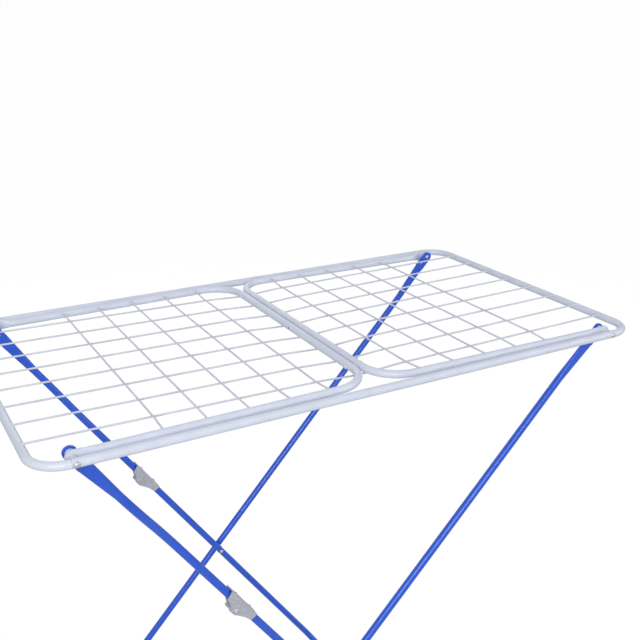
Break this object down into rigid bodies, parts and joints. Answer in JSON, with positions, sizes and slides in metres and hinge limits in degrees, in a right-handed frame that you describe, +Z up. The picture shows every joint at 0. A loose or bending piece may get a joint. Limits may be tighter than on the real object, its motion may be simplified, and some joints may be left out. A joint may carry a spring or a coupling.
{
  "type": "folding wire top laundry table",
  "caption": "Folding stand with a white tube ring, a two-panel wire mesh top and crossed blue tube legs with hinged knees.",
  "frame": {"origin": "on the floor, under the middle of the table", "axes": "+Z up, +X along the table towards the leg frame without knees, +Y towards the back rail"},
  "size_m": [1.059, 0.5982, 0.9325],
  "materials": {
    "white_coat": "semi-gloss bluish-white powder coat on steel tube",
    "wire_coat": "white powder coat on steel wire",
    "blue_coat": "glossy royal blue powder coat on steel tube",
    "zinc": "bright zinc plating on pressed steel and fasteners",
    "white_plastic": "plain white moulded plastic",
    "grey_plastic": "dark grey moulded plastic, guessed"
  },
  "bodies": {
    "table": {"end_frame_left": "white_coat", "end_frame_right": "white_coat", "outer_rail_front": "white_coat", "outer_rail_back": "white_coat", "inner_frame_left": "white_coat", "inner_frame_right": "white_coat", "long_wires": "wire_coat", "cross_wires_left": "wire_coat", "cross_wires_right": "wire_coat", "centre_bar_rivets": "white_coat", "pivot_rivets": "zinc", "pivot_bushes": "white_plastic", "pivot_washers": "white_plastic"},
    "right_leg": {"right_leg_frame": "blue_coat", "scissor_rivets_outer": "zinc", "foot_caps_right": "grey_plastic"},
    "left_upper": {"left_upper_leg_front": "blue_coat", "left_upper_leg_back": "blue_coat", "knee_bracket_upper_front": "zinc", "knee_bracket_upper_back": "zinc", "knee_rivets_upper": "zinc", "knee_bolts": "zinc", "knee_nuts": "zinc"},
    "left_lower": {"left_lower_leg_frame": "blue_coat", "knee_bracket_lower_front": "zinc", "knee_bracket_lower_back": "zinc", "knee_rivets_lower": "zinc", "scissor_rivets_inner": "zinc", "scissor_spacers": "white_plastic", "foot_caps_left": "grey_plastic"}
  },
  "joints": [
    {"name": "right_leg_hinge", "type": "hinge", "parent": "table", "child": "right_leg", "pos_m": [0.47, 0, 0.922], "axis": [0, 1, 0], "range_deg": [0, 42.4]},
    {"name": "left_leg_hinge", "type": "hinge", "parent": "table", "child": "left_upper", "pos_m": [-0.47, 0, 0.922], "axis": [0, 1, 0], "range_deg": [-51.91, 0]},
    {"name": "knee_hinge", "type": "hinge", "parent": "left_upper", "child": "left_lower", "pos_m": [-0.23146, 0, 0.56554], "axis": [0, 1, 0], "range_deg": [0, 172.86]}
  ],
  "couplings": [
    {"joint": "left_leg_hinge", "follows": "right_leg_hinge", "ratio": -1.2243},
    {"joint": "knee_hinge", "follows": "right_leg_hinge", "ratio": 4.0769}
  ]
}
